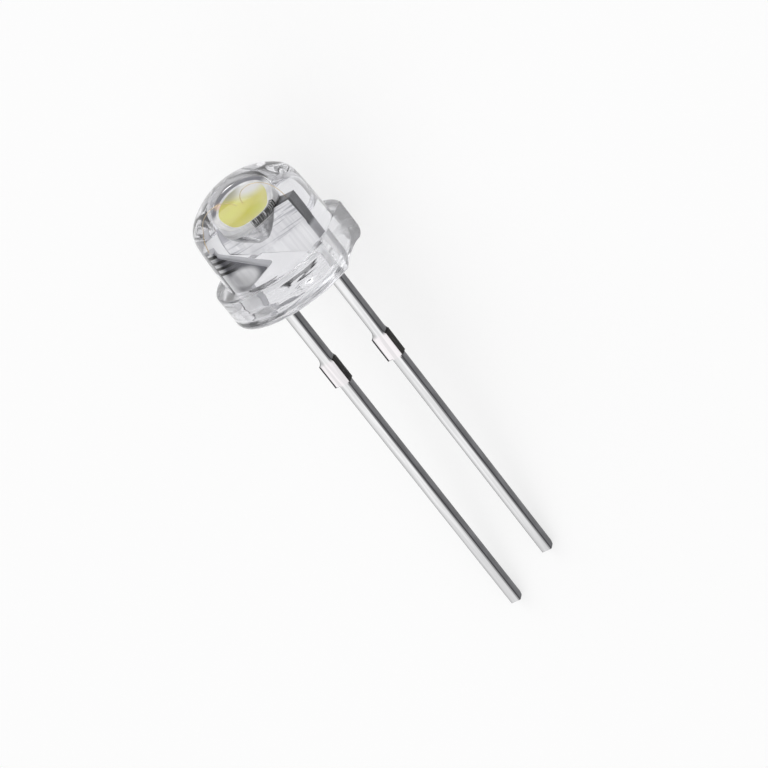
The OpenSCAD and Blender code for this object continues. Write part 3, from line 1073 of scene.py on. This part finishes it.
def pale_floor():
    """A plain white board, alike to the camera, in metal and through the epoxy.

    Part of it glows, so that it stays white, and the rest keeps the lamp's shadow.
    """
    glow_share = 0.7
    material = bpy.data.materials.new("white_board")
    material.use_nodes = True
    tree = material.node_tree
    tree.nodes.clear()
    board = add(tree, "ShaderNodeBsdfPrincipled",
                {"Base Color": srgb("#f2f2f2"), "Roughness": 0.5})
    glow = add(tree, "ShaderNodeEmission", {"Color": srgb("#ffffff"), "Strength": 1.0})
    ray = add(tree, "ShaderNodeLightPath").outputs
    mirrored = calc(tree, "MAXIMUM", ray["Is Glossy Ray"], ray["Is Transmission Ray"])
    seen = calc(tree, "MAXIMUM", ray["Is Camera Ray"], mirrored)
    mixed = add(tree, "ShaderNodeMixShader",
                {0: times(tree, seen, glow_share), 1: board.outputs[0], 2: glow.outputs[0]})
    add(tree, "ShaderNodeOutputMaterial", {"Surface": mixed.outputs[0]})
    return material


ROOM_LEVEL = 0.86
# azimuth and elevation, the angles within which a side is full and past which it is gone, all
# in degrees, and how much it adds to the room's level: three soft boxes, then four darker sides
ROOM_SIDES = (
    (20, 14, 14, 38, 2.2),
    (-70, 45, 15, 45, 0.6),
    (140, 50, 20, 50, 0.35),
    (-145, 30, 15, 45, -0.55),
    (92, 3, 12, 35, -0.6),
    (-36, 36, 10, 30, -0.9),
    (-88, 8, 12, 32, -0.55),
)


def room_side(tree, view, azimuth, elevation, full, gone, more):
    """What one side of the room adds in each direction of view."""
    azimuth, elevation = math.radians(azimuth), math.radians(elevation)
    towards = (math.cos(azimuth) * math.cos(elevation), math.sin(azimuth) * math.cos(elevation),
               math.sin(elevation))
    facing = add(tree, "ShaderNodeVectorMath", {0: view, 1: towards},
                 operation="DOT_PRODUCT").outputs["Value"]
    return within(tree, facing, math.cos(math.radians(gone)), math.cos(math.radians(full)),
                  high=more)


def light_world(tree):
    """A pale room with three soft boxes and four darker sides; no direction is below black."""
    tree.nodes.clear()
    view = add(tree, "ShaderNodeTexCoord").outputs["Generated"]
    level = ROOM_LEVEL
    for side in ROOM_SIDES:
        level = calc(tree, "ADD", level, room_side(tree, view, *side))
    sky = add(tree, "ShaderNodeBackground", {"Color": srgb("#ffffff"), "Strength": level})
    add(tree, "ShaderNodeOutputWorld", {"Surface": sky.outputs[0]})


OPERATORS = (LAMP_OT_moulding, LAMP_OT_cathode, LAMP_OT_anode, LAMP_OT_fill, LAMP_OT_die,
             LAMP_OT_wires, LAMP_OT_stage)


class LAMP_PT_sidebar(bpy.types.Panel):
    """The lamp's pieces, in the order in which they are made."""
    bl_idname = "LAMP_PT_sidebar"
    bl_label = "Through-hole lamp"
    bl_space_type = "VIEW_3D"
    bl_region_type = "UI"
    bl_category = "Lamp"

    def draw(self, context):
        for operator in OPERATORS:
            self.layout.operator(operator.bl_idname)


GROUPS = {
    "lamp_moulding": MouldingSizes,
    "lamp_leads": LeadSizes,
    "lamp_anvil": AnvilSizes,
    "lamp_post": PostSizes,
    "lamp_wires": WireSizes,
    "lamp_finishes": Finishes,
    "lamp_stage": StageSettings,
}


def register():
    for made in (*GROUPS.values(), *OPERATORS, LAMP_PT_sidebar):
        bpy.utils.register_class(made)
    for name, group in GROUPS.items():
        setattr(bpy.types.Scene, name, PointerProperty(type=group))


def unregister():
    for name in GROUPS:
        delattr(bpy.types.Scene, name)
    for made in reversed((*GROUPS.values(), *OPERATORS, LAMP_PT_sidebar)):
        bpy.utils.unregister_class(made)


def main():
    register()
    bpy.ops.lamp.moulding()
    bpy.ops.lamp.cathode()
    bpy.ops.lamp.anode()
    bpy.ops.lamp.fill()
    bpy.ops.lamp.die()
    bpy.ops.lamp.wires()
    bpy.ops.lamp.stage()


if __name__ == "__main__":
    main()
